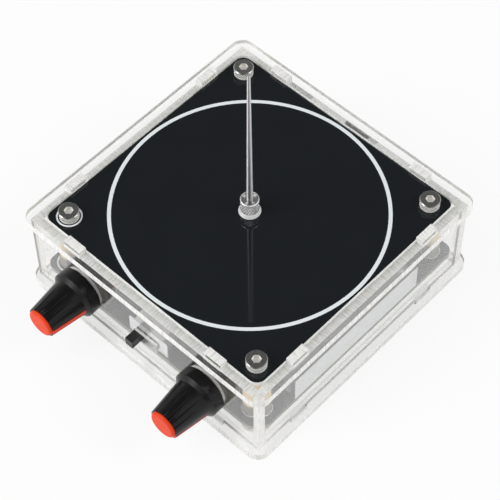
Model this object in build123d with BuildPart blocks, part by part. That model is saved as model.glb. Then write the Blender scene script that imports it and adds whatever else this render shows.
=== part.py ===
from build123d import *
import math
import os

os.makedirs("parts", exist_ok=True)

# Musical high-voltage coil in a clear acrylic case. Millimetres, +Z up.
# The origin is the centre of the bottom plate's underside. The wall with the
# two knobs faces -Y, the power inlet faces +Y and the audio inlet faces -X.

# Acrylic case, cut from one sheet size
sheet = 2.7
rim_overhang = 2.2
plate_corner = 4.2
tab_length = 6.6
tab_place = 27.85
tab_rise = 1.0
tab_play = 0.05

# Circuit boards
board_side = 85.0
board_corner = 3.0
board_thick = 1.6
board_gap = 0.1
frame_rise = 0.85
corner_inset = 5.25

# Screws and spacers that carry the boards
spacer_length = 6.0
base_nut_height = 4.6
base_nut_width = 5.5
standoff_length = 15.0
standoff_width = 5.5
screw_width = 3.0
screw_play = 0.2
thread_play = 0.02
top_head_width = 6.25
top_head_height = 2.9
top_head_bevel = 0.3
top_screw_length = 8.0
socket_width = 2.5
socket_depth = 1.4
sunk_head_width = 5.6
sunk_head_height = 1.5
sunk_head_play = 0.1
bottom_screw_length = 20.0

# White print on the coil board
print_thick = 0.06
circle_inset = 1.35
circle_line = 1.15
corner_ring_width = 7.8
corner_ring_line = 0.5

# Copper windings under the coil board
trace_thick = 0.1
primary_inset = 5.5
primary_line = 3.0
primary_gap = 4.0
primary_gap_angle = 135.0
secondary_pad = 8.4
secondary_pitch = 1.4
secondary_line = 0.8

# Discharge needle and its nuts
needle_rise = 60.4
needle_root_width = 2.0
needle_tip_width = 0.95
needle_point_length = 0.25
needle_point_width = 0.6
stud_width = 3.0
stud_rise = 2.4
stud_drop = 3.2
flange_width = 6.75
flange_edge = 0.4
flange_height = 1.4
flange_bevel = 0.35
grip_foot_width = 5.8
grip_width = 5.45
nut_rim_width = 5.65
nut_rim_height = 0.5
nut_height = 5.85
nut_cup_depth = 1.0
nut_cup_edge = 0.2
lock_nut_width = 5.5
lock_nut_height = 2.4

# Control knobs, on shafts that point to -Y
shaft_height = 5.3
shaft_width = 6.0
shaft_run = 0.05
knob_gap = 0.5
knob_length = 16.3
skirt_width = 15.5
skirt_length = 3.6
skirt_bevel = 1.15
base_width = 12.8
tip_width = 9.9
recess_width = 12.0
recess_depth = 3.6
shaft_engage = 8.0
knob_hole_gap = 3.35
flute_count = 4
flute_pitch = 20.0
flute_group_angle = 90.0
flute_radius = 0.36
flute_depth = 0.34
flute_end_gap = 2.2
cap_width = 9.0
cap_seat = 1.5
cap_stand = 1.0
cap_round = 0.85
stripe_width = 1.8
stripe_depth = 0.8
stripe_stand = 0.12
pointer_angles = {"left": -5.0, "right": -28.0}

# Rotary potentiometers
pot_wall_gap = 0.7
pot_width = 11.0
pot_top = 5.6
pot_depth = 6.5
strip_width = 3.2
strip_depth = 3.9
strip_foot = 1.4
strip_standoff_gap = 0.9
bushing_width = 7.0
bushing_reach = 1.3
shaft_tail = 3.6
pot_pins = 3
pot_pin_pitch = 1.3

# Slide switch, flat on the driver board behind the front wall
switch_place = 0.45
switch_wall_gap = 0.7
switch_length = 11.5
switch_plate_length = 15.5
switch_tall = 6.9
switch_depth = 5.0
switch_shell = 0.3
slot_end_gap = 0.3
slot_play = 0.15
lever_length = 2.8
lever_height = 3.1
lever_reach = 7.1
lever_drop = 2.4
lever_travel = 5.8
lever_run = 0.1
switch_base_thick = 1.2
switch_pins = 3
switch_pin_pitch = 3.0

# Power inlet for a 5.5 mm barrel plug with a 2.1 mm pin
jack_place = 0.6
jack_width = 9.0
jack_tall = 11.0
jack_depth = 14.2
jack_axis_height = 6.5
jack_bore = 6.3
jack_bore_depth = 9.5
jack_pin_width = 2.1
jack_pin_setback = 1.8
jack_hole_play = 0.2
jack_pins = 3
jack_pin_pitch = 3.0

# Audio inlet for a 3.5 mm plug
audio_place = -5.0
audio_width = 6.5
audio_tall = 5.6
audio_depth = 12.0
audio_axis_height = 2.8
audio_nose_width = 5.2
audio_nose_reach = 2.3
audio_bore = 3.6
audio_bore_depth = 13.0
audio_wall_gap = 0.2
audio_hole_play = 0.3
audio_pins = 3
audio_pin_pitch = 3.5

# Heat sink and power transistors along the right wall
sink_length = 53.7
sink_shift = -2.05
sink_tall = 9.7
sink_foot = 1.6
sink_margin = 0.4
fin_thick = 1.8
fin_pitch = 4.2
fin_count = 3
transistor_places = (-15.0, 9.0)
transistor_tab_width = 10.0
transistor_tab_length = 15.2
transistor_tab_thick = 1.3
transistor_body_length = 9.2
transistor_body_thick = 3.2
pad_thick = 0.2
pad_margin = 0.5
lead_width = 0.8
lead_pitch = 2.54
lead_run = 3.0
tab_screw_head = 5.5
tab_screw_head_height = 2.0
tab_screw_inset = 2.8

# Other parts on the driver board
bulk_width = 10.0
bulk_tall = 12.5
bulk_place = (-17.0, 30.0)
bulk_groove = 0.4
film_length = 13.0
film_width = 5.0
film_tall = 10.0
film_places = ((-6.0, 14.0), (-6.0, 21.0))
inductor_width = 10.4
inductor_tall = 5.2
inductor_place = (-25.0, 14.0)
inductor_inset = 0.8
chip_length = 5.0
chip_width = 3.9
chip_tall = 1.5
chip_leg_reach = 1.05
chip_leg_width = 0.42
chip_leg_pitch = 1.27
chip_legs = 4
chip_places = ((1.0, -14.0), (1.0, 0.0))
module_length = 18.0
module_width = 13.0
module_thick = 0.8
module_place = (-19.0, -14.0)
shield_tall = 2.0
shield_margin = 1.5
link_width = 1.0
pin_width = 0.8
pin_drop = 1.5
pin_play = 0.1

# Heights
driver_bottom = sheet + spacer_length
driver_top = driver_bottom + board_thick
base_nut_top = driver_top + base_nut_height
coil_bottom = base_nut_top + standoff_length
coil_top = coil_bottom + board_thick
frame_top = coil_top + frame_rise
frame_bottom = frame_top - sheet
tab_top = frame_top + tab_rise
shaft_z = driver_top + shaft_height
pin_bottom = driver_bottom - pin_drop

# Plan of the case
board_half = board_side / 2
corner_hole_place = board_half - corner_inset
circle_radius = board_half - circle_inset
primary_radius = board_half - primary_inset
secondary_start = secondary_pad / 2
knob_place = (
    corner_hole_place - standoff_width / 2 - strip_standoff_gap - strip_width - pot_width / 2
)
wall_in = board_half + board_gap
wall_out = wall_in + sheet
wall_mid = wall_in + sheet / 2
plate_half = wall_out + rim_overhang

# Places along Y of the parts behind the front wall
knob_back = -(wall_out + knob_gap)
knob_skirt = knob_back - skirt_length
knob_base = knob_skirt - skirt_bevel
knob_tip = knob_back - knob_length
knob_floor = knob_back - recess_depth
shaft_tip = knob_floor - shaft_engage
pot_front = -(wall_in - pot_wall_gap)
switch_front = -(wall_in - switch_wall_gap)
switch_back = switch_front + switch_depth
switch_roof = driver_top + switch_tall
lever_roof = switch_roof - lever_drop

corner_grid = GridLocations(2 * corner_hole_place, 2 * corner_hole_place, 2, 2)


def keep(piece, name):
    """Label a finished piece and write it as one node."""
    piece.part.label = name
    export_step(piece.part, f"parts/{name}.step")


def row(count, pitch, middle=0.0):
    """Places of a row of equal steps about its middle."""
    return [middle + (i - (count - 1) / 2) * pitch for i in range(count)]


# The link wires stand at the two ends of the primary turn
link_step = math.degrees((primary_gap / 2 + primary_line / 2) / primary_radius)
link_places = [
    (
        primary_radius * math.cos(math.radians(primary_gap_angle + side * link_step)),
        primary_radius * math.sin(math.radians(primary_gap_angle + side * link_step)),
    )
    for side in (-1, 1)
]

# Every wire that goes through the driver board, so that the board is drilled for it
pot_pin_places = [
    (side * knob_place + pot_width / 2 + strip_foot / 2, y)
    for side in (-1, 1)
    for y in row(pot_pins, pot_pin_pitch, pot_front + strip_depth / 2)
]
switch_pin_y = switch_back + switch_base_thick / 2
switch_pin_places = [(x, switch_pin_y) for x in row(switch_pins, switch_pin_pitch, switch_place)]
jack_back = wall_out - jack_depth
jack_pin_places = [
    (jack_place, y) for y in row(jack_pins, jack_pin_pitch, jack_back + jack_depth / 2 - jack_pin_pitch)
]
audio_front = -(wall_in - audio_wall_gap)
audio_pin_places = [
    (x, audio_place) for x in row(audio_pins, audio_pin_pitch, audio_front + audio_depth / 2)
]
tab_screw_x = board_half - fin_count * fin_pitch - tab_screw_inset
tab_right = tab_screw_x + tab_screw_inset
tab_left = tab_right - transistor_tab_length
lead_x = tab_left - lead_run
lead_places = [(lead_x, place + step) for place in transistor_places for step in row(3, lead_pitch)]
bulk_pin_places = [(bulk_place[0] + x, bulk_place[1]) for x in row(2, bulk_width / 2)]
film_pin_places = [
    (place[0] + x, place[1]) for place in film_places for x in row(2, film_length - 3 * pin_width)
]
drilled = (
    pot_pin_places + switch_pin_places + jack_pin_places + audio_pin_places
    + lead_places + bulk_pin_places + film_pin_places
)


def pins(places, top):
    """Round wires that stand in the driver board and reach up to the given height."""
    with BuildSketch(Plane.XY.offset(pin_bottom)) as wires:
        with Locations(*places):
            Circle(pin_width / 2)
    extrude(wires.sketch, amount=top - pin_bottom)


def tab_openings():
    """Openings in a plate for the two tabs of each wall."""
    for turn in range(4):
        along = Location((0, 0, 0), (0, 0, 1), 90 * turn)
        spots = [along * Location((side * tab_place, wall_mid, 0)) for side in (-1, 1)]
        with Locations(*spots):
            Rectangle(tab_length + 2 * tab_play, sheet + 2 * tab_play, mode=Mode.SUBTRACT)


def wall_outline(width):
    """A wall that stands between the plates, with two tabs up and two tabs down."""
    with Locations((0, (sheet + frame_bottom) / 2)):
        Rectangle(width, frame_bottom - sheet)
    with Locations((-tab_place, tab_top / 2), (tab_place, tab_top / 2)):
        Rectangle(tab_length, tab_top)


# Case: bottom plate
with BuildPart() as bottom_plate:
    with BuildSketch():
        RectangleRounded(2 * plate_half, 2 * plate_half, plate_corner)
        tab_openings()
        with corner_grid:
            Circle(screw_width / 2 + screw_play, mode=Mode.SUBTRACT)
    extrude(amount=sheet)
    with corner_grid:
        Cone(
            sunk_head_width / 2 + sunk_head_play,
            screw_width / 2 + sunk_head_play,
            sunk_head_height + sunk_head_play,
            align=(Align.CENTER, Align.CENTER, Align.MIN),
            mode=Mode.SUBTRACT,
        )
keep(bottom_plate, "bottom_plate")

# Case: front wall, with the two knob holes and the switch slot
with BuildPart() as front_wall:
    with BuildSketch(Plane.XZ.offset(wall_in)):
        wall_outline(2 * wall_out)
        with Locations((-knob_place, shaft_z), (knob_place, shaft_z)):
            Circle(bushing_width / 2 + knob_hole_gap, mode=Mode.SUBTRACT)
        with Locations((switch_place, lever_roof - lever_height / 2)):
            Rectangle(
                lever_length + lever_travel + 2 * slot_end_gap,
                lever_height + 2 * slot_play,
                mode=Mode.SUBTRACT,
            )
    extrude(amount=sheet)
keep(front_wall, "front_wall")

# Case: back wall, with the opening of the power inlet
with BuildPart() as back_wall:
    with BuildSketch(Plane.XZ.offset(-wall_out)):
        wall_outline(2 * wall_out)
        with Locations((jack_place, driver_top + jack_tall / 2)):
            Rectangle(
                jack_width + 2 * jack_hole_play, jack_tall + 2 * jack_hole_play, mode=Mode.SUBTRACT
            )
    extrude(amount=sheet)
keep(back_wall, "back_wall")

# Case: left wall, with the hole of the audio inlet
with BuildPart() as left_wall:
    with BuildSketch(Plane.YZ.offset(-wall_out)):
        wall_outline(2 * wall_in)
        with Locations((audio_place, driver_top + audio_axis_height)):
            Circle(audio_nose_width / 2 + audio_hole_play, mode=Mode.SUBTRACT)
    extrude(amount=sheet)
keep(left_wall, "left_wall")

# Case: right wall
with BuildPart() as right_wall:
    with BuildSketch(Plane.YZ.offset(wall_in)):
        wall_outline(2 * wall_in)
    extrude(amount=sheet)
keep(right_wall, "right_wall")

# Case: top frame round the coil board, with open notches for the tabs
with BuildPart() as top_frame:
    with BuildSketch(Plane.XY.offset(frame_bottom)):
        RectangleRounded(2 * plate_half, 2 * plate_half, plate_corner)
        RectangleRounded(2 * wall_in, 2 * wall_in, board_corner + board_gap, mode=Mode.SUBTRACT)
        tab_openings()
    extrude(amount=sheet)
keep(top_frame, "top_frame")

# Coil board, the black square with the needle in its middle
with BuildPart() as coil_board:
    with BuildSketch(Plane.XY.offset(coil_bottom)):
        RectangleRounded(board_side, board_side, board_corner)
        with corner_grid:
            Circle(screw_width / 2 + screw_play, mode=Mode.SUBTRACT)
        Circle(stud_width / 2 + screw_play, mode=Mode.SUBTRACT)
    extrude(amount=board_thick)
keep(coil_board, "coil_board")

# White printed circle, and the ring round the screw that is the ground terminal
with BuildPart() as coil_circle_print:
    with BuildSketch(Plane.XY.offset(coil_top)):
        Circle(circle_radius + circle_line / 2)
        Circle(circle_radius - circle_line / 2, mode=Mode.SUBTRACT)
    extrude(amount=print_thick)
keep(coil_circle_print, "coil_circle_print")

with BuildPart() as corner_ring_print:
    with BuildSketch(Plane.XY.offset(coil_top)):
        with Locations((-corner_hole_place, -corner_hole_place)):
            Circle(corner_ring_width / 2)
            Circle(corner_ring_width / 2 - corner_ring_line, mode=Mode.SUBTRACT)
    extrude(amount=print_thick)
keep(corner_ring_print, "corner_ring_print")

# Primary winding: one broad open turn of copper under the board
with BuildPart() as primary_winding:
    with BuildSketch(Plane.XY.offset(coil_bottom)):
        Circle(primary_radius + primary_line / 2)
        Circle(primary_radius - primary_line / 2, mode=Mode.SUBTRACT)
        with Locations(
            Location((0, 0, 0), (0, 0, 1), primary_gap_angle) * Location((primary_radius, 0, 0))
        ):
            Rectangle(2 * primary_line, primary_gap, mode=Mode.SUBTRACT)
    extrude(amount=-trace_thick)
keep(primary_winding, "primary_winding")


secondary_turns = int((primary_radius - 1.5 * primary_line - secondary_start) / secondary_pitch)


def spiral_side(offset):
    """Half turns about two centres, each step wider than the last by half a pitch."""
    quarter = secondary_pitch / 4
    arcs = []
    for half in range(2 * secondary_turns):
        up = half % 2 == 0
        centre = -quarter if up else quarter
        radius = secondary_start + half * secondary_pitch / 2 + offset
        arcs.append((centre, radius, up))
    return arcs


# Secondary winding: a flat spiral of copper from the pad at the stud outwards
with BuildPart() as secondary_winding:
    with BuildSketch(Plane.XY.offset(coil_bottom)):
        Circle(secondary_pad / 2)
        with BuildLine():
            for edge in (-secondary_line / 2, secondary_line / 2):
                for centre, radius, up in spiral_side(edge):
                    CenterArc((centre, 0), radius, 0 if up else 180, 180)
            inner, outer = (spiral_side(edge) for edge in (-secondary_line / 2, secondary_line / 2))
            Line((inner[0][0] + inner[0][1], 0), (outer[0][0] + outer[0][1], 0))
            Line((inner[-1][0] + inner[-1][1], 0), (outer[-1][0] + outer[-1][1], 0))
        make_face()
        Circle(stud_width / 2 + screw_play, mode=Mode.SUBTRACT)
    extrude(amount=-trace_thick)
keep(secondary_winding, "secondary_winding")

# Driver board, drilled for its screws, link wires and the leads of its parts
with BuildPart() as driver_board:
    with BuildSketch(Plane.XY.offset(driver_bottom)):
        RectangleRounded(board_side, board_side, board_corner)
        with corner_grid:
            Circle(screw_width / 2 + screw_play, mode=Mode.SUBTRACT)
        with Locations(*link_places):
            Circle(link_width / 2 + pin_play, mode=Mode.SUBTRACT)
        with Locations(*drilled):
            Circle(pin_width / 2 + pin_play, mode=Mode.SUBTRACT)
    extrude(amount=board_thick)
keep(driver_board, "driver_board")


def spacer_ring(bottom, length):
    """A nylon tube at each corner, bored for the screw."""
    with BuildSketch(Plane.XY.offset(bottom)) as tubes:
        with corner_grid:
            Circle(standoff_width / 2)
            Circle(screw_width / 2 + thread_play, mode=Mode.SUBTRACT)
    extrude(tubes.sketch, amount=length)


with BuildPart() as lower_spacers:
    spacer_ring(sheet, spacer_length)
keep(lower_spacers, "lower_spacers")

# Hexagon nuts that clamp the driver board and carry the upper standoffs
with BuildPart() as base_nuts:
    with BuildSketch(Plane.XY.offset(driver_top)):
        with corner_grid:
            RegularPolygon(base_nut_width / 2, 6, major_radius=False)
            Circle(screw_width / 2 + thread_play, mode=Mode.SUBTRACT)
    extrude(amount=base_nut_height)
keep(base_nuts, "base_nuts")

with BuildPart() as upper_standoffs:
    spacer_ring(base_nut_top, standoff_length)
keep(upper_standoffs, "upper_standoffs")

# Socket head screws that hold the coil board
with BuildPart() as top_screws:
    with BuildSketch(Plane.XY.offset(coil_top)):
        with corner_grid:
            Circle(top_head_width / 2)
    extrude(amount=top_head_height)
    chamfer(edges().group_by(Axis.Z)[-1], top_head_bevel)
    with BuildSketch(Plane.XY.offset(coil_top + top_head_height)):
        with corner_grid:
            RegularPolygon(socket_width / 2, 6, major_radius=False)
    extrude(amount=-socket_depth, mode=Mode.SUBTRACT)
    with BuildSketch(Plane.XY.offset(coil_top)):
        with corner_grid:
            Circle(screw_width / 2)
    extrude(amount=-top_screw_length)
keep(top_screws, "top_screws")

# Countersunk screws from below, through the lower spacers and the nuts into the standoffs
with BuildPart() as bottom_screws:
    with corner_grid:
        Cone(
            sunk_head_width / 2,
            screw_width / 2,
            sunk_head_height,
            align=(Align.CENTER, Align.CENTER, Align.MIN),
        )
    with BuildSketch(Plane.XY.offset(sunk_head_height)):
        with corner_grid:
            Circle(screw_width / 2)
    extrude(amount=bottom_screw_length - sunk_head_height)
    with BuildSketch():
        with corner_grid:
            Rectangle(socket_width * 1.2, screw_play * 2)
            Rectangle(screw_play * 2, socket_width * 1.2)
    extrude(amount=sunk_head_height / 2, mode=Mode.SUBTRACT)
keep(bottom_screws, "bottom_screws")

# Discharge needle, one turned piece that ends in a threaded stud
with BuildPart() as discharge_needle:
    with BuildSketch(Plane.XZ):
        with BuildLine():
            Polyline(
                (0, coil_bottom - stud_drop),
                (stud_width / 2, coil_bottom - stud_drop),
                (stud_width / 2, coil_top + stud_rise),
                (needle_root_width / 2, coil_top + stud_rise),
                (needle_root_width / 2, coil_top + nut_height),
                (needle_tip_width / 2, coil_top + needle_rise - needle_point_length),
                (needle_point_width / 2, coil_top + needle_rise),
                (0, coil_top + needle_rise),
                close=True,
            )
        make_face()
    revolve(axis=Axis.Z)
keep(discharge_needle, "discharge_needle")

# Knurled nut that clamps the needle
with BuildPart() as needle_nut:
    with BuildSketch(Plane.XZ):
        with BuildLine():
            Polyline(
                (stud_width / 2, coil_top),
                (flange_width / 2, coil_top),
                (flange_width / 2, coil_top + flange_edge),
                (flange_width / 2 - flange_bevel, coil_top + flange_height),
                (grip_foot_width / 2, coil_top + flange_height),
                (grip_width / 2, coil_top + nut_height - nut_rim_height),
                (nut_rim_width / 2, coil_top + nut_height - nut_rim_height),
                (nut_rim_width / 2, coil_top + nut_height),
                (nut_rim_width / 2 - nut_cup_edge, coil_top + nut_height),
                (needle_root_width / 2, coil_top + nut_height - nut_cup_depth),
                (needle_root_width / 2, coil_top + stud_rise),
                (stud_width / 2, coil_top + stud_rise),
                close=True,
            )
        make_face()
    revolve(axis=Axis.Z)
keep(needle_nut, "needle_nut")

# Hexagon nut on the stud under the coil board
with BuildPart() as needle_lock_nut:
    with BuildSketch(Plane.XY.offset(coil_bottom - trace_thick)):
        RegularPolygon(lock_nut_width / 2, 6, major_radius=False)
        Circle(stud_width / 2, mode=Mode.SUBTRACT)
    extrude(amount=-lock_nut_height)
keep(needle_lock_nut, "needle_lock_nut")


def shaft_axis(x):
    """The axis of a knob, through the centre of its shaft."""
    return Axis((x, 0, shaft_z), (0, 1, 0))


def radial_plane(x, angle):
    """Plane through the knob's axis: its x is outwards at the angle, its y is +Y."""
    out = (math.cos(math.radians(angle)), 0, math.sin(math.radians(angle)))
    side = (-math.sin(math.radians(angle)), 0, math.cos(math.radians(angle)))
    return Plane(origin=(x, 0, shaft_z), x_dir=out, z_dir=side)


def pointer_bar(x, angle, mode):
    """The coloured stripe along the knob's side, and the groove that it sits in."""
    with BuildSketch(radial_plane(x, angle)) as bar:
        with BuildLine():
            Polyline(
                (tip_width / 2 + stripe_stand, knob_tip),
                (base_width / 2 + stripe_stand, knob_base),
                (base_width / 2 - stripe_depth, knob_base),
                (tip_width / 2 - stripe_depth, knob_tip),
                close=True,
            )
        make_face()
    extrude(bar.sketch, amount=stripe_width / 2, both=True, mode=mode)


def flute(x, angle):
    """One shallow groove along the tapered side of the knob."""
    plane = radial_plane(x, angle)
    lift = flute_radius - flute_depth
    start = plane.from_local_coords((tip_width / 2 + lift, knob_tip, 0))
    end = plane.from_local_coords((base_width / 2 + lift, knob_base - flute_end_gap, 0))
    along = end - start
    with BuildSketch(Plane(origin=start, z_dir=along)) as groove:
        Circle(flute_radius)
    extrude(groove.sketch, amount=along.length, mode=Mode.SUBTRACT)


def knob_set(side, x):
    """A knob with its coloured cap, its shaft, and the potentiometer that it turns."""
    pointer = pointer_angles[side]

    with BuildPart() as knob:
        with BuildSketch(radial_plane(x, 0)):
            with BuildLine():
                Polyline(
                    (recess_width / 2, knob_back),
                    (skirt_width / 2, knob_back),
                    (skirt_width / 2, knob_skirt),
                    (base_width / 2, knob_base),
                    (tip_width / 2, knob_tip),
                    (cap_width / 2, knob_tip),
                    (cap_width / 2, knob_tip + cap_seat),
                    (0, knob_tip + cap_seat),
                    (0, shaft_tip),
                    (shaft_width / 2, shaft_tip),
                    (shaft_width / 2, knob_floor),
                    (recess_width / 2, knob_floor),
                    close=True,
                )
            make_face()
        revolve(axis=shaft_axis(x))
        for middle in (pointer + flute_group_angle, pointer - flute_group_angle):
            for angle in row(flute_count, flute_pitch, middle):
                flute(x, angle)
        pointer_bar(x, pointer, Mode.SUBTRACT)
    keep(knob, f"{side}_knob")

    with BuildPart() as cap:
        with BuildSketch(radial_plane(x, 0)):
            with BuildLine():
                Polyline(
                    (0, knob_tip + cap_seat),
                    (cap_width / 2, knob_tip + cap_seat),
                    (cap_width / 2, knob_tip - cap_stand),
                    (0, knob_tip - cap_stand),
                    close=True,
                )
            make_face()
        revolve(axis=shaft_axis(x))
        fillet(edges().filter_by(GeomType.CIRCLE).sort_by(Axis.Y)[0], cap_round)
        pointer_bar(x, pointer, Mode.ADD)
    keep(cap, f"{side}_knob_cap")

    with BuildPart() as shaft:
        with BuildSketch(Plane.XZ.offset(-(pot_front + shaft_tail))):
            with Locations((x, shaft_z)):
                Circle(shaft_width / 2)
        extrude(amount=pot_front + shaft_tail - shaft_tip)
    keep(shaft, f"{side}_pot_shaft")

    with BuildPart() as bushing:
        with BuildSketch(Plane.XZ.offset(-pot_front)):
            with Locations((x, shaft_z)):
                Circle(bushing_width / 2)
                Circle(shaft_width / 2 + shaft_run, mode=Mode.SUBTRACT)
        extrude(amount=pot_front + wall_out + bushing_reach)
    keep(bushing, f"{side}_pot_bushing")

    with BuildPart() as body:
        with BuildSketch(Plane.XZ.offset(-pot_front)):
            with Locations((x, (driver_top + shaft_z + pot_top) / 2)):
                Rectangle(pot_width, shaft_z + pot_top - driver_top)
        extrude(amount=-pot_depth)
        chamfer(edges().filter_by(Axis.Y).group_by(Axis.Z)[-1], pot_width / 12)
        with BuildSketch(Plane.XZ.offset(-pot_front)):
            with Locations((x, shaft_z)):
                Circle(shaft_width / 2 + shaft_run)
        extrude(amount=-(shaft_tail + shaft_run), mode=Mode.SUBTRACT)
    keep(body, f"{side}_pot_body")

    strip_left = x + pot_width / 2
    strip_top = shaft_z + pot_top
    with BuildPart() as strip:
        with BuildSketch(Plane.XZ.offset(-pot_front)):
            with BuildLine():
                Polyline(
                    (strip_left, driver_top),
                    (strip_left + strip_foot, driver_top),
                    (strip_left + strip_width, driver_top + pot_top),
                    (strip_left + strip_width, strip_top),
                    (strip_left, strip_top),
                    close=True,
                )
            make_face()
        extrude(amount=-strip_depth)
    keep(strip, f"{side}_pot_strip")


knob_set("left", -knob_place)
knob_set("right", knob_place)

# The six leads of the two potentiometers
with BuildPart() as pot_leads:
    pins(pot_pin_places, driver_top)
keep(pot_leads, "pot_leads")

# Slide switch: folded steel case with a longer front plate, and a window for the lever
window_left = switch_place - (lever_length + lever_travel) / 2
lever_rest = window_left + lever_length / 2
switch_middle = (driver_top + switch_roof) / 2
with BuildPart() as switch_case:
    with BuildSketch(Plane.XZ.offset(-switch_front)):
        with Locations((switch_place, switch_middle)):
            Rectangle(switch_length, switch_tall)
    extrude(amount=-switch_depth)
    with BuildSketch(Plane.XZ.offset(-switch_back)):
        with Locations((switch_place, switch_middle)):
            Rectangle(switch_length - 2 * switch_shell, switch_tall - 2 * switch_shell)
    extrude(amount=switch_depth - switch_shell, mode=Mode.SUBTRACT)
    with BuildSketch(Plane.XZ.offset(-switch_front)):
        with Locations((switch_place, switch_middle)):
            RectangleRounded(switch_plate_length, switch_tall, 2 * switch_shell)
            Rectangle(
                switch_length - 2 * switch_shell, switch_tall - 2 * switch_shell, mode=Mode.SUBTRACT
            )
    extrude(amount=-switch_shell)
    with BuildSketch(Plane.XZ.offset(-switch_front)):
        with Locations((switch_place, lever_roof - lever_height / 2)):
            Rectangle(
                lever_length + lever_travel + 2 * lever_run,
                lever_height + 2 * lever_run,
            )
    extrude(amount=-switch_shell, mode=Mode.SUBTRACT)
keep(switch_case, "switch_case")

# Slide switch: base that closes the case, and its three leads
with BuildPart() as switch_base:
    with BuildSketch(Plane.XZ.offset(-switch_back)):
        with Locations((switch_place, switch_middle)):
            Rectangle(switch_length, switch_tall)
    extrude(amount=-switch_base_thick)
keep(switch_base, "switch_base")

with BuildPart() as switch_leads:
    pins(switch_pin_places, driver_top)
keep(switch_leads, "switch_leads")

# Slide switch: lever, with a foot inside the case that keeps it in
inner_length = switch_length - 2 * switch_shell
inner_tall = switch_tall - 2 * switch_shell
foot_length = inner_length - lever_travel - 2 * lever_run
foot_left = switch_place - inner_length / 2 + lever_run
with BuildPart() as switch_lever:
    with BuildSketch(Plane.XZ.offset(-(switch_front - lever_reach))):
        with Locations((lever_rest, lever_roof - lever_height / 2)):
            Rectangle(lever_length, lever_height)
    extrude(amount=-(lever_reach + switch_shell + lever_run))
    with BuildSketch(Plane.XZ.offset(-(switch_front + switch_shell + lever_run))):
        with Locations((foot_left + foot_length / 2, switch_middle)):
            Rectangle(foot_length, inner_tall - 2 * lever_run)
    extrude(amount=-(switch_depth - switch_shell - 2 * lever_run))
keep(switch_lever, "switch_lever")

# Power inlet: moulded body with a round socket
with BuildPart() as power_inlet_body:
    with BuildSketch(Plane.XZ.offset(-wall_out)):
        with Locations((jack_place, driver_top + jack_tall / 2)):
            Rectangle(jack_width, jack_tall)
    extrude(amount=jack_depth)
    chamfer(edges().filter_by(Axis.Y).group_by(Axis.Z)[-1], jack_width / 9)
    with BuildSketch(Plane.XZ.offset(-wall_out)):
        with Locations((jack_place, driver_top + jack_axis_height)):
            Circle(jack_bore / 2)
    extrude(amount=jack_bore_depth, mode=Mode.SUBTRACT)
keep(power_inlet_body, "power_inlet_body")

# Power inlet: centre pin and leads
with BuildPart() as power_inlet_pin:
    with BuildSketch(Plane.XZ.offset(-(wall_out - jack_bore_depth))):
        with Locations((jack_place, driver_top + jack_axis_height)):
            Circle(jack_pin_width / 2)
    extrude(amount=-(jack_bore_depth - jack_pin_setback))
    fillet(edges().sort_by(Axis.Y)[-1], jack_pin_width / 4)
keep(power_inlet_pin, "power_inlet_pin")

with BuildPart() as power_inlet_leads:
    pins(jack_pin_places, driver_top)
keep(power_inlet_leads, "power_inlet_leads")

# Audio inlet: moulded body with a round nose in the left wall
audio_z = driver_top + audio_axis_height
with BuildPart() as audio_inlet_body:
    with BuildSketch(Plane.YZ.offset(audio_front)):
        with Locations((audio_place, driver_top + audio_tall / 2)):
            Rectangle(audio_width, audio_tall)
    extrude(amount=audio_depth)
    with BuildSketch(Plane.YZ.offset(audio_front)):
        with Locations((audio_place, audio_z)):
            Circle(audio_nose_width / 2)
    extrude(amount=-audio_nose_reach)
    with BuildSketch(Plane.YZ.offset(audio_front - audio_nose_reach)):
        with Locations((audio_place, audio_z)):
            Circle(audio_bore / 2)
    extrude(amount=audio_bore_depth, mode=Mode.SUBTRACT)
keep(audio_inlet_body, "audio_inlet_body")

with BuildPart() as audio_inlet_leads:
    pins(audio_pin_places, driver_top)
keep(audio_inlet_leads, "audio_inlet_leads")

# Heat sink: flat foot on the driver board, with fins along the right wall
foot_width = board_half - tab_left + sink_margin
with BuildPart() as heat_sink:
    with BuildSketch(Plane.XZ.offset(-(sink_shift + sink_length / 2))):
        with Locations((board_half - foot_width / 2, driver_top + sink_foot / 2)):
            Rectangle(foot_width, sink_foot)
        for fin in range(fin_count):
            with Locations((board_half - fin_thick / 2 - fin * fin_pitch, driver_top + sink_tall / 2)):
                Rectangle(fin_thick, sink_tall)
    extrude(amount=sink_length)
    with BuildSketch(Plane.XY.offset(driver_top)):
        with Locations(*[(tab_screw_x, y) for y in transistor_places]):
            Circle(screw_width / 2 + thread_play)
    extrude(amount=sink_foot, mode=Mode.SUBTRACT)
keep(heat_sink, "heat_sink")

# Power transistors: insulating pads, metal tabs with leads, moulded bodies, screws
pad_bottom = driver_top + sink_foot
tab_bottom = pad_bottom + pad_thick
with BuildPart() as insulating_pads:
    with BuildSketch(Plane.XY.offset(pad_bottom)):
        with Locations(*[((tab_left + tab_right) / 2, y) for y in transistor_places]):
            Rectangle(transistor_tab_length, transistor_tab_width + 2 * pad_margin)
        with Locations(*[(tab_screw_x, y) for y in transistor_places]):
            Circle(screw_width / 2 + screw_play, mode=Mode.SUBTRACT)
    extrude(amount=pad_thick)
keep(insulating_pads, "insulating_pads")

with BuildPart() as transistor_tabs:
    with BuildSketch(Plane.XY.offset(tab_bottom)):
        with Locations(*[((tab_left + tab_right) / 2, y) for y in transistor_places]):
            Rectangle(transistor_tab_length, transistor_tab_width)
        with Locations(*[(tab_screw_x, y) for y in transistor_places]):
            Circle(screw_width / 2 + screw_play, mode=Mode.SUBTRACT)
    extrude(amount=transistor_tab_thick)
keep(transistor_tabs, "transistor_tabs")

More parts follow.
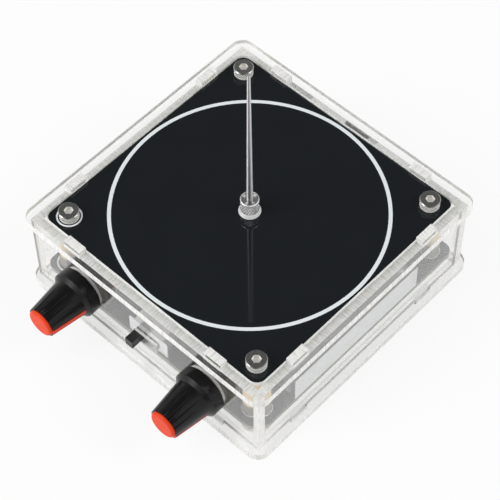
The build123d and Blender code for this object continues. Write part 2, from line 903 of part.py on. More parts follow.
body_bottom = tab_bottom + transistor_tab_thick
with BuildPart() as transistor_bodies:
    with BuildSketch(Plane.XY.offset(body_bottom)):
        with Locations(*[(tab_left + transistor_body_length / 2, y) for y in transistor_places]):
            Rectangle(transistor_body_length, transistor_tab_width)
    extrude(amount=transistor_body_thick)
    chamfer(edges().group_by(Axis.Z)[-1], transistor_body_thick / 6)
keep(transistor_bodies, "transistor_bodies")

lead_z = body_bottom + transistor_body_thick / 4
with BuildPart() as transistor_leads:
    pins(lead_places, lead_z)
    with BuildSketch(Plane.YZ.offset(lead_x)):
        with Locations(*[(y, lead_z) for x, y in lead_places]):
            Rectangle(lead_width, lead_width / 2)
    extrude(amount=tab_left - lead_x)
keep(transistor_leads, "transistor_leads")

with BuildPart() as transistor_screws:
    with BuildSketch(Plane.XY.offset(body_bottom)):
        with Locations(*[(tab_screw_x, y) for y in transistor_places]):
            Circle(tab_screw_head / 2)
    extrude(amount=tab_screw_head_height)
    fillet(edges().group_by(Axis.Z)[-1], tab_screw_head_height / 3)
    with BuildSketch(Plane.XY.offset(body_bottom)):
        with Locations(*[(tab_screw_x, y) for y in transistor_places]):
            Circle(screw_width / 2)
    extrude(amount=driver_top - body_bottom)
keep(transistor_screws, "transistor_screws")

# Bulk capacitor: sleeved can with a crimped groove near its foot
with BuildPart() as bulk_capacitor:
    with BuildSketch(Plane.XY.offset(driver_top)):
        with Locations(bulk_place):
            Circle(bulk_width / 2)
    extrude(amount=bulk_tall)
    fillet(edges().group_by(Axis.Z)[-1], bulk_groove)
    with BuildSketch(Plane.XY.offset(driver_top + 3 * bulk_groove)):
        with Locations(bulk_place):
            Circle(bulk_width)
            Circle(bulk_width / 2 - bulk_groove, mode=Mode.SUBTRACT)
    extrude(amount=2 * bulk_groove, mode=Mode.SUBTRACT)
keep(bulk_capacitor, "bulk_capacitor")

# Film capacitors of the resonant circuit
with BuildPart() as film_capacitors:
    with BuildSketch(Plane.XY.offset(driver_top)):
        with Locations(*film_places):
            Rectangle(film_length, film_width)
    extrude(amount=film_tall)
    fillet(edges().filter_by(Axis.Z), film_width / 10)
    fillet(edges().group_by(Axis.Z)[-1], film_width / 12)
keep(film_capacitors, "film_capacitors")

with BuildPart() as capacitor_leads:
    pins(bulk_pin_places + film_pin_places, driver_top)
keep(capacitor_leads, "capacitor_leads")

# Power inductor: square ferrite with a round core in its top
with BuildPart() as power_inductor:
    with BuildSketch(Plane.XY.offset(driver_top)):
        with Locations(inductor_place):
            RectangleRounded(inductor_width, inductor_width, inductor_width / 6)
    extrude(amount=inductor_tall)
    with BuildSketch(Plane.XY.offset(driver_top + inductor_tall)):
        with Locations(inductor_place):
            Circle(inductor_width / 2 - inductor_inset)
            Circle(inductor_width / 3, mode=Mode.SUBTRACT)
    extrude(amount=-inductor_inset, mode=Mode.SUBTRACT)
keep(power_inductor, "power_inductor")

# Driver chips with four legs a side
with BuildPart() as driver_chips:
    with BuildSketch(Plane.XY.offset(driver_top + chip_leg_width / 2)):
        with Locations(*chip_places):
            Rectangle(chip_width, chip_length)
    extrude(amount=chip_tall)
    with BuildSketch(Plane.XY.offset(driver_top)):
        for place in chip_places:
            with Locations(*[(place[0], y) for y in row(chip_legs, chip_leg_pitch, place[1])]):
                Rectangle(chip_width + 2 * chip_leg_reach, chip_leg_width)
    extrude(amount=chip_leg_width / 2)
keep(driver_chips, "driver_chips")

# Wireless audio module: small board with a shield can
with BuildPart() as audio_module_board:
    with BuildSketch(Plane.XY.offset(driver_top)):
        with Locations(module_place):
            Rectangle(module_length, module_width)
    extrude(amount=module_thick)
keep(audio_module_board, "audio_module_board")

with BuildPart() as audio_module_shield:
    with BuildSketch(Plane.XY.offset(driver_top + module_thick)):
        with Locations(module_place):
            RectangleRounded(
                module_length - 2 * shield_margin, module_width - 2 * shield_margin, shield_margin / 2
            )
    extrude(amount=shield_tall)
    fillet(edges().group_by(Axis.Z)[-1], shield_margin / 4)
keep(audio_module_shield, "audio_module_shield")

# Link wires that join the driver board to the two ends of the primary turn
with BuildPart() as link_wires:
    with BuildSketch(Plane.XY.offset(pin_bottom)):
        with Locations(*link_places):
            Circle(link_width / 2)
    extrude(amount=coil_bottom - trace_thick - pin_bottom)
keep(link_wires, "link_wires")
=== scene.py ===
import math

import bmesh
import bpy
from mathutils import Matrix, Vector


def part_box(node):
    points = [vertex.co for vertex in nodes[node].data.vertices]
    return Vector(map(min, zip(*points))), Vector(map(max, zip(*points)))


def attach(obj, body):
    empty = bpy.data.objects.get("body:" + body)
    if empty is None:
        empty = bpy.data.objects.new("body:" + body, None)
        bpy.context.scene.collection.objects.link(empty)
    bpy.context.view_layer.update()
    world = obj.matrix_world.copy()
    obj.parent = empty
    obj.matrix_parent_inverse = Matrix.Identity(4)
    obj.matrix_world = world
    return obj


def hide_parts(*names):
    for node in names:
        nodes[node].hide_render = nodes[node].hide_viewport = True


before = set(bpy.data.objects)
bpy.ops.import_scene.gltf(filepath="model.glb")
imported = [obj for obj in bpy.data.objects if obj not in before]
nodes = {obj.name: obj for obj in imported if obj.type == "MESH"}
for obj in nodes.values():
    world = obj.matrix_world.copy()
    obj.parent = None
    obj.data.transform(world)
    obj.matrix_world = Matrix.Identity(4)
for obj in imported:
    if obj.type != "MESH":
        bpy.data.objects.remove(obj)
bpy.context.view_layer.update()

ACRYLIC_IOR = 1.49
AIR_GAP = 0.00002  # round each clear sheet, so that light leaves it before it enters the next
SHEET_BEVEL = 0.00006
ALONG_AXIS = 0.99  # a normal lies along an axis when their product is above this
WALL_MIDDLE = 0.02  # level faces of the back wall within this of the middle are polished
KNURL_STEPS = 8  # steps of angle, and of height, from one point of a knurl to the next


# Node helpers

class Tree:
    """A node tree with short ways to add nodes to it."""

    def __init__(self, tree):
        self.tree = tree

    def put(self, socket, value):
        """Links an output to the socket, or gives it a plain value."""
        if isinstance(value, bpy.types.NodeSocket):
            self.tree.links.new(value, socket)
        else:
            socket.default_value = value

    def node(self, kind, **inputs):
        made = self.tree.nodes.new(kind)
        for key, value in inputs.items():
            self.put(made.inputs[key.replace("_", " ")], value)
        return made

    def math(self, operation, first, second=0.0):
        made = self.node("ShaderNodeMath")
        made.operation = operation
        self.put(made.inputs[0], first)
        self.put(made.inputs[1], second)
        return made.outputs["Value"]

    def spread(self, value, low, high, out_low=0.0, out_high=1.0):
        """A value between two limits, spread over two others."""
        made = self.node(
            "ShaderNodeMapRange",
            Value=value, From_Min=low, From_Max=high, To_Min=out_low, To_Max=out_high,
        )
        return made.outputs["Result"]

    def colours(self, factor, first, second):
        """A mix of two colours, each an output or three numbers."""
        made = self.node("ShaderNodeMix")
        made.data_type = "RGBA"
        self.put(made.inputs["Factor"], factor)
        for key, colour in (("A", first), ("B", second)):
            self.put(made.inputs[key], (*colour, 1) if isinstance(colour, tuple) else colour)
        return made.outputs["Result"]

    def shaders(self, factor, first, second):
        """A mix of two shaders."""
        made = self.node("ShaderNodeMixShader", Fac=factor)
        self.tree.links.new(first, made.inputs[1])
        self.tree.links.new(second, made.inputs[2])
        return made.outputs["Shader"]


class Shader(Tree):
    """A material with a Principled BSDF."""

    def __init__(self, name, **values):
        self.material = bpy.data.materials.new(name)
        self.material.use_nodes = True
        super().__init__(self.material.node_tree)
        self.bsdf = self.tree.nodes["Principled BSDF"]
        self.output = self.tree.nodes["Material Output"]
        for key, value in values.items():
            self.bsdf.inputs[key.replace("_", " ")].default_value = value

    def place(self):
        """The point on the object, in metres."""
        return self.node("ShaderNodeTexCoord").outputs["Object"]

    def stretched(self, scale):
        """The point multiplied by a scale for each axis."""
        return self.node("ShaderNodeMapping", Vector=self.place(), Scale=scale).outputs["Vector"]

    def noise(self, scale, detail=3.0, vector=None):
        made = self.node(
            "ShaderNodeTexNoise", Scale=scale, Detail=detail, Vector=vector or self.place()
        )
        return made.outputs["Fac"]

    def bump(self, height, distance, strength):
        made = self.node(
            "ShaderNodeBump", Height=height, Distance=distance, Strength=strength
        )
        return made.outputs["Normal"]

    def link(self, output, key):
        self.tree.links.new(output, self.bsdf.inputs[key])

    def surface(self, output):
        self.tree.links.new(output, self.output.inputs["Surface"])


# Finishes of the clear sheets

def let_light_in(s, amount=0.98):
    """Lamps and the light that bounces about shine straight through, as through thin sheet."""
    ray = s.node("ShaderNodeLightPath").outputs
    straight = s.math("MAXIMUM", ray["Is Shadow Ray"], ray["Is Diffuse Ray"])
    passed = s.node("ShaderNodeBsdfTransparent", Color=(amount, amount, amount, 1))
    s.surface(s.shaders(straight, s.bsdf.outputs["BSDF"], passed.outputs["BSDF"]))


def clear_face(name, colour):
    """Polished face of clear sheet, with very faint waves."""
    s = Shader(name, Roughness=0.0, IOR=ACRYLIC_IOR, Base_Color=(*colour, 1))
    s.link(s.spread(s.noise(45.0), 0.3, 0.7, 0.975, 0.995), "Transmission Weight")
    let_light_in(s)
    return s.material


def edge_lines(s, flat_axis, dark, light, least_clear, most_clear):
    """Fine lines straight across the sheet, in the colour and the clearness of its edge."""
    squeeze = [0.08 if letter == flat_axis else 1.0 for letter in "XYZ"]
    lines = s.noise(3400.0, 1.0, s.stretched(squeeze))
    s.link(s.colours(s.spread(lines, 0.4, 0.54), dark, light), "Base Color")
    s.link(s.spread(lines, 0.35, 0.65, least_clear, most_clear), "Transmission Weight")
    return lines


def cut_edge(name, flat_axis):
    """Laser-cut edge: frosted, with fine lines."""
    s = Shader(name, IOR=ACRYLIC_IOR)
    lines = edge_lines(s, flat_axis, (0.77, 0.764, 0.744), (1.0, 0.994, 0.968), 0.02, 0.25)
    s.link(s.spread(lines, 0.3, 0.7, 0.3, 0.5), "Roughness")
    s.link(s.bump(lines, distance=0.00005, strength=0.8), "Normal")
    let_light_in(s, 0.94)
    return s.material


def polished_edge(name, flat_axis):
    """Cut edge that is polished clear, with faint lines."""
    s = Shader(name, Roughness=0.05, IOR=ACRYLIC_IOR)
    edge_lines(s, flat_axis, (0.9, 0.896, 0.885), (1.0, 0.998, 0.99), 0.84, 0.95)
    let_light_in(s)
    return s.material


# Other finishes

def board(name, rings, ring_colour):
    """Glossy black solder mask, glass-fibre edge, and rings of (x, y, radius, half their line)."""
    s = Shader(name, Roughness=0.06, IOR=1.5, Specular_IOR_Level=0.4)
    normal = s.node("ShaderNodeTexCoord").outputs["Normal"]
    upright = s.node("ShaderNodeSeparateXYZ", Vector=normal).outputs["Z"]
    edge = s.math("LESS_THAN", s.math("ABSOLUTE", upright), 0.5)
    face = s.math("SUBTRACT", 1.0, edge)
    mask = s.colours(s.noise(60.0, 4.0), (0.0065, 0.0085, 0.0105), (0.009, 0.0115, 0.0135))
    fibre = s.colours(s.noise(900.0, 2.0), (0.16, 0.19, 0.13), (0.26, 0.29, 0.2))
    where = s.node("ShaderNodeSeparateXYZ", Vector=s.place()).outputs
    total = None
    for x, y, radius, half_line in rings:
        dx = s.math("SUBTRACT", where["X"], x)
        dy = s.math("SUBTRACT", where["Y"], y)
        square = s.math("ADD", s.math("MULTIPLY", dx, dx), s.math("MULTIPLY", dy, dy))
        off = s.math("ABSOLUTE", s.math("SUBTRACT", s.math("SQRT", square), radius))
        ring = s.math("LESS_THAN", off, half_line)
        total = ring if total is None else s.math("MAXIMUM", total, ring)
    ringed_here = s.math("MULTIPLY", total, face)
    s.link(s.colours(ringed_here, s.colours(edge, mask, fibre), ring_colour), "Base Color")
    s.link(s.bump(s.noise(500.0), distance=0.000004, strength=0.5), "Normal")
    return s.material


def moulded(name, low, high, rough, grain=0.00001, scale=1500.0, specular=0.5):
    """Moulded plastic with slight colour variation and a fine grain."""
    s = Shader(name, Roughness=rough, IOR=1.5, Specular_IOR_Level=specular)
    s.link(s.colours(s.noise(220.0), low, high), "Base Color")
    s.link(s.bump(s.noise(scale), distance=grain, strength=0.6), "Normal")
    return s.material


def metal(name, low, high, rough, stretch=(1, 1, 1), scale=1200.0, bare=1.0, drawn=0.0):
    """Metal with fine tool marks that are stretched along one direction.

    It is frosted where bare is below one. Where drawn is above zero, its highlights are drawn out
    across round tool marks.
    """
    s = Shader(name, Metallic=bare, Roughness=rough)
    marks = s.noise(scale, vector=s.stretched(stretch))
    s.link(s.colours(marks, low, high), "Base Color")
    s.link(s.bump(marks, distance=0.00001, strength=0.5), "Normal")
    if drawn:
        tangent = s.node("ShaderNodeTangent")
        tangent.direction_type = "RADIAL"
        tangent.axis = "Z"
        s.link(tangent.outputs["Tangent"], "Tangent")
        s.bsdf.inputs["Anisotropic"].default_value = drawn
        s.bsdf.inputs["Anisotropic Rotation"].default_value = 0.25
    return s.material


def paint(material, *names):
    for name in names:
        for slot in nodes[name].material_slots:
            slot.material = material


# Shapes

def shown_piece(name, form, materials):
    """An object made from a form, with its sharp edges marked."""
    mesh = bpy.data.meshes.new(name)
    form.to_mesh(mesh)
    form.free()
    mesh.set_sharp_from_angle(angle=math.radians(20))
    piece = bpy.data.objects.new(name, mesh)
    bpy.context.scene.collection.objects.link(piece)
    for material in materials:
        mesh.materials.append(material)
    return piece


def shift_inwards(vert):
    """How far a corner moves, so that each face that meets there goes in by the air gap."""
    sides = []
    for face in vert.link_faces:
        if all(face.normal.dot(side) < 0.999 for side in sides):
            sides.append(face.normal.copy())
    shift = Vector((0, 0, 0))
    for _ in range(30):  # rounds until sides that aren't square to each other are all met
        for side in sides:
            shift -= side * (side.dot(shift) + AIR_GAP)
    return shift


def clear_sheet(name, flat_axis):
    """A clear sheet in place of its CAD node: the same outline, less a thin air gap, bevelled."""
    form = bmesh.new()
    form.from_mesh(nodes[name].data)
    bmesh.ops.remove_doubles(form, verts=form.verts, dist=1e-7)
    bmesh.ops.dissolve_limit(
        form, angle_limit=math.radians(1), verts=form.verts, edges=form.edges
    )
    shifts = [shift_inwards(vert) for vert in form.verts]
    for vert, shift in zip(form.verts, shifts):
        vert.co += shift
    sharp = [
        edge for edge in form.edges
        if len(edge.link_faces) == 2 and edge.calc_face_angle(0) > math.radians(40)
    ]
    bmesh.ops.bevel(
        form, geom=sharp, offset=SHEET_BEVEL, segments=1, affect="EDGES", clamp_overlap=True
    )
    across = "XYZ".index(flat_axis)
    for face in form.faces:
        face.smooth = True
        face.material_index = 0 if abs(face.normal[across]) > ALONG_AXIS else 1
        level = abs(face.normal.z) > ALONG_AXIS
        if name == "back_wall" and level and abs(face.calc_center_median().x) < WALL_MIDDLE:
            face.material_index = 2
    # The bottom plate takes the grey-tinted faces, which are painted shade.
    face_finish = painted_shade_underside if name == "bottom_plate" else acrylic_face
    finishes = (face_finish, acrylic_edges[flat_axis], clear_edge)
    piece = shown_piece(f"{name}_sheet", form, finishes)
    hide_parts(name)
    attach(piece, "case")


def turned_piece(
    name, replaced, profile, materials, segments, places=((0, 0),), relief=None, flat=()
):
    """A turned piece from (radius, height) points, stood at each place.

    relief gives how far a point at (angle, row) moves outwards. Rows in flat keep hard facets, cut
    along the lines of a diamond knurl.
    """
    form = bmesh.new()
    for px, py in places:
        rings = []
        for row, (radius, height) in enumerate(profile):
            if radius == 0.0:
                rings.append([form.verts.new((px, py, height))])
                continue
            ring = []
            for step in range(segments):
                angle = 2 * math.pi * step / segments
                out = radius + (relief(step, row) if relief else 0.0)
                spot = (px + out * math.cos(angle), py + out * math.sin(angle), height)
                ring.append(form.verts.new(spot))
            rings.append(ring)
        for row, (low, high) in enumerate(zip(rings, rings[1:])):
            for step in range(segments):
                after = (step + 1) % segments
                if len(low) == 1:
                    outline = (low[0], high[after], high[step])
                elif len(high) == 1:
                    outline = (low[step], low[after], high[0])
                elif row not in flat:
                    outline = (low[step], low[after], high[after], high[step])
                elif (row - flat[0] + step + 1) % (KNURL_STEPS // 2) == 0:
                    form.faces.new((low[step], low[after], high[step]))
                    outline = (low[after], high[after], high[step])
                else:
                    form.faces.new((low[step], low[after], high[after]))
                    outline = (low[step], high[after], high[step])
                face = form.faces.new(outline)
                face.smooth = row not in flat
    bmesh.ops.recalc_face_normals(form, faces=form.faces)
    piece = shown_piece(name, form, materials)
    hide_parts(replaced)
    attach(piece, "case")
    return piece


def knurl(depth, first, last):
    """Relief of a diamond knurl between two rows."""

    def tooth(value):
        return abs(2 * (value % 1.0) - 1)

    def relief(step, row):
        if not first <= row <= last:
            return 0.0
        up, across = (row - first) / KNURL_STEPS, step / KNURL_STEPS
        return depth * min(tooth(up + across), tooth(up - across))

    return relief


# Clear case

acrylic_face = clear_face("acrylic_face", (0.992, 0.992, 0.986))
# The bottom plate's faces are tinted grey: painted shade for the shadow on the floor under the
# case.
painted_shade_underside = clear_face("acrylic_underside_painted_shade", (0.9, 0.9, 0.893))
acrylic_edges = {axis: cut_edge(f"acrylic_edge_{axis.lower()}", axis) for axis in "XYZ"}
clear_edge = polished_edge("acrylic_clear_edge", "Y")
sheet_axes = {
    "bottom_plate": "Z", "top_frame": "Z", "front_wall": "Y", "back_wall": "Y",
    "left_wall": "X", "right_wall": "X",
}
for sheet_name, sheet_axis in sheet_axes.items():
    clear_sheet(sheet_name, sheet_axis)

# Boards, with rings round their corner screws and spacers

corner = 0.03725
corners = [(sx * corner, sy * corner) for sx in (-1, 1) for sy in (-1, 1)]
printed = (-corner, -corner)
others = [place for place in corners if place != printed]
# At one corner of the driver board the ring is white print. The other rings are drawn in the same
# light colour round the driver board's spacers, and slightly lighter than the mask round the coil
# board's screws.
coil_rings = [(*place, 0.0039, 0.0002) for place in others]
driver_rings = [(*printed, 0.0039, 0.0003)] + [(*place, 0.0031, 0.00014) for place in others]
paint(board("coil_board_mask", coil_rings, (0.011, 0.013, 0.015)), "coil_board")
paint(board("driver_board_mask", driver_rings, (0.8, 0.81, 0.81)), "driver_board")
board_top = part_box("coil_board")[1][2]

# Discharge needle

stud_radius = 0.0015
stud_top = board_top + 0.0024
needle_radius = 0.001
cup_rim = board_top + 0.00585
needle_low, needle_high = (corner_of[2] for corner_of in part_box("discharge_needle"))
needle_profile = [
    # the stud, with a chamfer at its foot
    (0.0, needle_low), (0.0014, needle_low), (stud_radius, needle_low + 0.0001),
    (stud_radius, stud_top), (needle_radius, stud_top),
    # the taper from the cup's rim to a rounded point
    (needle_radius, cup_rim), (0.000475, needle_high - 0.0003),
    (0.00044, needle_high - 0.00015), (0.0003, needle_high), (0.0, needle_high),
]
needle_steel = metal(
    "needle_steel", (0.55, 0.55, 0.56), (0.64, 0.64, 0.65), rough=0.4, stretch=(1, 1, 6), drawn=1.0
)
needle = turned_piece(
    "needle_turned", "discharge_needle", needle_profile, [needle_steel], segments=48
)

# Knurled nut: flange, diamond knurl, thin rim and a cup with fine rings

knurl_low = board_top + 0.0015
knurl_pitch = 0.0015
knurl_rows = 19
knurl_points = 20
knurl_depth = 0.00042
knurl_inner = 0.00244
knurl_taper = 0.0001
flange_radius = 0.003375
cone_top = 0.00145
rim_radius = 0.00282
rim_low = knurl_low + (knurl_rows - 1) * knurl_pitch / KNURL_STEPS
cup_rows = 13
cup_depth = 0.0008
cup_radius = 0.00246
cup_span = 0.00138  # of the ringed floor, from its outer edge inwards
nut_profile = [
    # the flange, and the cone on it
    (stud_radius, board_top), (0.00335, board_top), (flange_radius, board_top + 0.00003),
    (flange_radius, board_top + 0.00012), (0.00285, board_top + cone_top),
]
first_row = len(nut_profile)
for step in range(knurl_rows):
    share = step / (knurl_rows - 1)
    height = knurl_low + step * knurl_pitch / KNURL_STEPS
    nut_profile.append((knurl_inner - knurl_taper * share, height))
last_row = len(nut_profile) - 1
nut_profile += [
    # the rim, chamfered outside below and above, and inside above
    (0.00272, rim_low + 0.0001), (rim_radius, rim_low + 0.00018), (rim_radius, cup_rim - 0.00022),
    (0.00266, cup_rim), (0.0026, cup_rim), (0.00254, cup_rim - 0.0001),
]
for step in range(cup_rows):
    share = step / (cup_rows - 1)
    ridge = 0.00006 if step % 2 else 0.0
    nut_profile.append((cup_radius - cup_span * share, cup_rim - cup_depth - ridge))
nut_profile += [(needle_radius, cup_rim - 0.0009), (needle_radius, stud_top)]
# The faces at the bottoms of the knurls' grooves, on the nut and on the screws, get a dark steel:
# painted shade in the grooves.
groove_steel_painted_shade = metal(
    "groove_steel_painted_shade", (0.1, 0.1, 0.1), (0.2, 0.2, 0.2), rough=0.5, scale=2200.0
)
# The cup's steel is darker than the rest of the nut's: painted shade in the cup.
nut_finishes = [
    metal("nut_steel", (0.9, 0.9, 0.9), (1.0, 1.0, 1.0), rough=0.25, scale=2500.0, bare=0.5),
    metal("cup_steel_painted_shade", (0.4, 0.4, 0.4), (0.5, 0.5, 0.5), rough=0.4, scale=2500.0, drawn=0.9),
    metal(
        "flange_steel", (0.75, 0.75, 0.75), (1.0, 1.0, 1.0), rough=0.35, scale=2200.0, bare=0.15
    ),
    groove_steel_painted_shade,
]
nut = turned_piece(
    "nut_knurled", "needle_nut", nut_profile, nut_finishes, segments=knurl_points * KNURL_STEPS,
    relief=knurl(knurl_depth, first_row, last_row), flat=range(first_row, last_row),
)
in_cup = 0.00256  # faces of the cup lie within this radius
cup_low = cup_rim - 0.0012  # and above this height
in_groove = knurl_inner + 0.00005  # the bottoms of the grooves lie within this, less the taper
# Faces in the cup get the darker cup steel and faces at the bottoms of the grooves the dark groove
# steel, both painted shade; the flange and its cone get the flange steel.
for face in nut.data.polygons:
    middle = face.center
    out = math.hypot(middle.x, middle.y)
    share = (middle.z - knurl_low) / (rim_low - knurl_low)
    if middle.z > cup_low and out < in_cup:
        face.material_index = 1
    elif middle.z < board_top + cone_top + 0.00002:
        face.material_index = 2
    elif middle.z < rim_low and (share < 0 or out < in_groove - knurl_taper * share):
        face.material_index = 3

# Socket head screws: knurled side, hexagon socket with a drilled cone for its floor

head_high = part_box("top_screws")[1][2]
head_knurl_low = board_top + 0.00015
head_knurl_pitch = 0.0009
head_knurl_depth = 0.00028
head_rows = 21
head_points = 24
head_segments = head_points * KNURL_STEPS
head_inner = 0.0028
head_radius = 0.003125
shank_radius = 0.0015
shank_low = board_top - 0.008
socket_radius = 0.0013
socket_flat = 0.00125  # from the middle of the socket to each flat
socket_turn = 0.3
socket_floor = head_high - 0.0009
socket_point = head_high - 0.0013
head_profile = [
    # the shank, and the chamfered foot of the head
    (0.0, shank_low), (shank_radius, shank_low), (shank_radius, board_top),
    (0.00285, board_top), (0.00297, board_top + 0.0001),
]
first_row = len(head_profile)
for step in range(head_rows):
    head_profile.append((head_inner, head_knurl_low + step * head_knurl_pitch / KNURL_STEPS))
last_row = len(head_profile) - 1
head_profile += [
    # the plain band above the knurl, and the chamfer of the top
    (0.00305, head_high - 0.0004), (head_radius, head_high - 0.00034),
    (head_radius, head_high - 0.00024), (0.00289, head_high), (0.00283, head_high),
]
socket_row = len(head_profile)
head_profile += [(socket_radius, head_high), (socket_radius, socket_floor)]
socket_end = len(head_profile) - 1
head_profile += [(0.0, socket_point)]
head_knurling = knurl(head_knurl_depth, first_row, last_row)


def head_relief(step, row):
    """The knurl, and a socket pulled in to six flats."""
    if socket_row <= row <= socket_end:
        angle = 2 * math.pi * step / head_segments + socket_turn
        return socket_flat / math.cos(angle % (math.pi / 3) - math.pi / 6) - socket_radius
    return head_knurling(step, row)


# The top of each head is a darker steel than its side and socket: painted shade on the top.
head_finishes = [
    metal("head_top_steel_painted_shade", (0.2, 0.2, 0.19), (0.5, 0.5, 0.49), rough=0.26, scale=1600.0),
    metal(
        "plated_steel", (0.78, 0.76, 0.72), (0.95, 0.94, 0.91), rough=0.36, scale=1800.0, bare=0.45
    ),
    groove_steel_painted_shade,
]
screws = turned_piece(
    "socket_screws", "top_screws", head_profile, head_finishes, segments=head_segments,
    places=corners, relief=head_relief, flat=list(range(first_row, last_row)) + [socket_end - 1],
)
# Faces at the bottoms of the knurl's grooves get the dark groove steel, painted shade; the side
# and the socket get the plated steel; the top keeps the darker steel, painted shade.
for face in screws.data.polygons:
    middle = face.center
    out = min(math.hypot(middle.x - px, middle.y - py) for px, py in corners)
    on_knurl = head_knurl_low < middle.z < head_high - 0.0005
    if on_knurl and 0.0026 < out < head_inner + 0.00006:
        face.material_index = 2
    elif middle.z < head_high - 0.00026 or out < socket_radius + 0.0001:
        face.material_index = 1

# Finishes of the nodes that keep their own shape

paint(
    moulded(
        "white_print", (0.77, 0.82, 0.84), (0.86, 0.9, 0.915),
        rough=0.35, grain=0.000003, scale=2500.0,
    ),
    "coil_circle_print", "corner_ring_print",
)
paint(
    metal("copper_foil", (0.62, 0.3, 0.18), (0.75, 0.4, 0.26), rough=0.3),
    "primary_winding", "secondary_winding",
)
paint(
    moulded("cream_nylon", (0.82, 0.64, 0.36), (0.92, 0.78, 0.52), rough=0.35, scale=800.0),
    "lower_spacers", "upper_standoffs",
)
paint(
    metal("screw_steel", (0.5, 0.5, 0.5), (0.66, 0.66, 0.66), rough=0.3, scale=2500.0),
    "bottom_screws", "transistor_screws", "needle_lock_nut",
)
paint(
    metal("nut_plating", (0.2, 0.19, 0.15), (0.32, 0.31, 0.25), rough=0.4, scale=2500.0, bare=0.4),
    "base_nuts",
)
paint(
    moulded(
        "knob_black", (0.003, 0.003, 0.0035), (0.006, 0.006, 0.007),
        rough=0.3, scale=2000.0, specular=0.25,
    ),
    "left_knob", "right_knob",
)
paint(
    moulded(
        "cap_red", (0.76, 0.052, 0.012), (0.84, 0.066, 0.02),
        rough=0.4, scale=1600.0, specular=0.12,
    ),
    "left_knob_cap", "right_knob_cap",
)
paint(
    metal("bright_metal", (0.6, 0.6, 0.6), (0.75, 0.75, 0.75), rough=0.25),
    "left_pot_shaft", "right_pot_shaft", "left_pot_bushing", "right_pot_bushing",
    "power_inlet_pin", "audio_module_shield", "transistor_tabs",
)
paint(
    moulded("black_plastic", (0.008, 0.008, 0.009), (0.016, 0.016, 0.017), rough=0.4),
    "left_pot_body", "right_pot_body", "switch_base", "switch_lever",
    "power_inlet_body", "audio_inlet_body", "transistor_bodies", "driver_chips",
)
paint(
    moulded("phenolic", (0.04, 0.035, 0.025), (0.16, 0.14, 0.09), rough=0.5),
    "left_pot_strip", "right_pot_strip",
)
paint(
    metal("tinned_wire", (0.6, 0.6, 0.61), (0.75, 0.75, 0.76), rough=0.25),
    "pot_leads", "switch_leads", "power_inlet_leads", "audio_inlet_leads",
    "transistor_leads", "capacitor_leads", "link_wires",
)
paint(
    metal("switch_steel", (0.8, 0.8, 0.81), (0.92, 0.92, 0.93), rough=0.4, bare=0.3),
    "switch_case",
)
paint(
    metal(
        "sink_aluminium", (0.66, 0.67, 0.68), (0.8, 0.81, 0.82),
        rough=0.32, stretch=(1, 0.05, 1),
    ),
    "heat_sink",
)
paint(moulded("grey_pad", (0.35, 0.35, 0.37), (0.45, 0.45, 0.47), rough=0.6), "insulating_pads")
paint(moulded("can_sleeve", (0.01, 0.01, 0.014), (0.02, 0.02, 0.026), rough=0.3), "bulk_capacitor")
paint(moulded("film_coat", (0.32, 0.03, 0.02), (0.42, 0.05, 0.03), rough=0.25), "film_capacitors")
paint(moulded("ferrite", (0.05, 0.05, 0.052), (0.08, 0.08, 0.083), rough=0.6), "power_inductor")
paint(
    moulded("module_mask", (0.01, 0.07, 0.03), (0.015, 0.1, 0.045), rough=0.25),
    "audio_module_board",
)


# Floor, less a wedge in front, so that polished parts reflect the world's dark strip there

def sheet(name, corners_of):
    mesh = bpy.data.meshes.new(name)
    mesh.from_pydata([Vector(c) for c in corners_of], [], [tuple(range(len(corners_of)))])
    made = bpy.data.objects.new(name, mesh)
    bpy.context.scene.collection.objects.link(made)
    return made


reach = 6
floor_height = -0.0003
wedge = [(1.641, -reach), (0.0396, -0.1447), (0.1084, -0.1036), (reach, -5.73)]
floor_outline = [(-reach, -reach), *wedge, (reach, reach), (-reach, reach)]
floor = sheet("floor", [(x, y, floor_height) for x, y in floor_outline])
paper = Shader("floor_paper", Roughness=0.9, Specular_IOR_Level=0.0)
pale = paper.colours(paper.noise(8.0, 2.0), (0.93, 0.93, 0.93), (0.95, 0.95, 0.95))
paper.link(pale, "Base Color")
glow = paper.node("ShaderNodeEmission", Color=(1, 1, 1, 1), Strength=1.0).outputs["Emission"]
floor_ray = paper.node("ShaderNodeLightPath").outputs
seen = paper.math("MAXIMUM", floor_ray["Is Camera Ray"], floor_ray["Is Glossy Ray"])
seen = paper.math("MAXIMUM", seen, floor_ray["Is Transmission Ray"])
glow_share = paper.math("MULTIPLY", seen, 0.88)
paper.surface(paper.shaders(glow_share, paper.bsdf.outputs["BSDF"], glow))
floor.data.materials.append(paper.material)

# World: a soft sky that is darker overhead and in a strip in front, and plain white for the camera

scene = bpy.context.scene
world = bpy.data.worlds.new("studio")
scene.world = world
world.use_nodes = True
world.node_tree.nodes.clear()
sky = Tree(world.node_tree)


def vector_step(operation, first, second=(0, 0, 0)):
    made = sky.node("ShaderNodeVectorMath")
    made.operation = operation
    sky.put(made.inputs[0], first)
    sky.put(made.inputs[1], second)
    return made.outputs


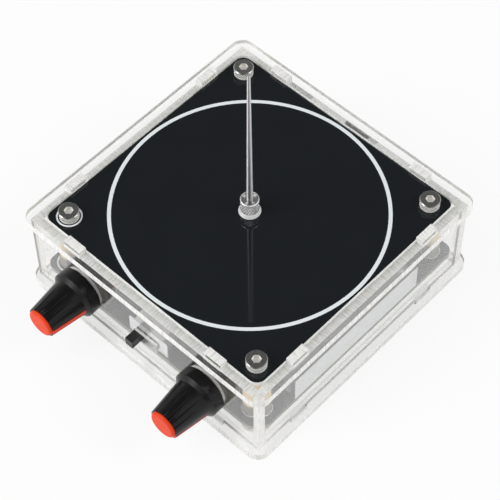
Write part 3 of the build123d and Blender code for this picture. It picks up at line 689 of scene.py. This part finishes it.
way = sky.node("ShaderNodeTexCoord").outputs["Generated"]
height_of = sky.node("ShaderNodeSeparateXYZ", Vector=way).outputs["Z"]
ramp = sky.node("ShaderNodeValToRGB", Fac=height_of)
for element, position, grey in zip(ramp.color_ramp.elements, (0.3, 0.75), (1, 0.18)):
    element.position = position
    element.color = (grey, grey, grey, 1)
strip_way = (0.512, -0.859, 0)
flat_way = vector_step("MULTIPLY", way, (1, 1, 0))["Vector"]
facing = vector_step("DOT_PRODUCT", vector_step("NORMALIZE", flat_way)["Vector"], strip_way)
strip = sky.spread(facing["Value"], 0.95, 0.975, 1.0, 0.03)
soft = sky.node("ShaderNodeBackground", Color=ramp.outputs["Color"], Strength=strip)
plain = sky.node("ShaderNodeBackground", Color=(1, 1, 1, 1), Strength=0.97)
for_camera = sky.node("ShaderNodeLightPath").outputs["Is Camera Ray"]
whole = sky.shaders(for_camera, soft.outputs["Background"], plain.outputs["Background"])
sky.node("ShaderNodeOutputWorld", Surface=whole)


# Lamps

def softbox(name, place, width, height, power):
    light = bpy.data.lights.new(name, "AREA")
    light.shape = "RECTANGLE"
    light.size, light.size_y = width, height
    light.energy = power
    made = bpy.data.objects.new(name, light)
    made.location = place
    aim = Vector((0, 0, 0.02)) - Vector(place)
    made.rotation_euler = aim.to_track_quat("-Z", "Y").to_euler()
    scene.collection.objects.link(made)


softbox("key_left", (-0.42, -0.74, 0.62), width=0.5, height=1.0, power=7.2)
softbox("back_right", (0.72, 0.45, 0.75), width=0.5, height=0.6, power=4.6)

# Camera

azimuth, elevation, roll = (math.radians(a) for a in (43.34, 55.021, -0.482))
forward = Vector((
    -math.sin(azimuth) * math.cos(elevation),
    math.cos(azimuth) * math.cos(elevation),
    -math.sin(elevation),
))
right = forward.cross(Vector((0, 0, 1))).normalized()
up = right.cross(forward)
turned_right = right * math.cos(roll) + up * math.sin(roll)
turned_up = up * math.cos(roll) - right * math.sin(roll)
turn = Matrix((turned_right, turned_up, -forward)).transposed().to_4x4()
lens = bpy.data.cameras.new("camera")
lens.sensor_width = 36
lens.lens = 133.02
lens.clip_start = 0.02
camera = bpy.data.objects.new("camera", lens)
scene.collection.objects.link(camera)
camera.matrix_world = Matrix.Translation((0.21896, -0.23208, 0.46735)) @ turn
scene.camera = camera
scene.view_settings.view_transform = "Standard"
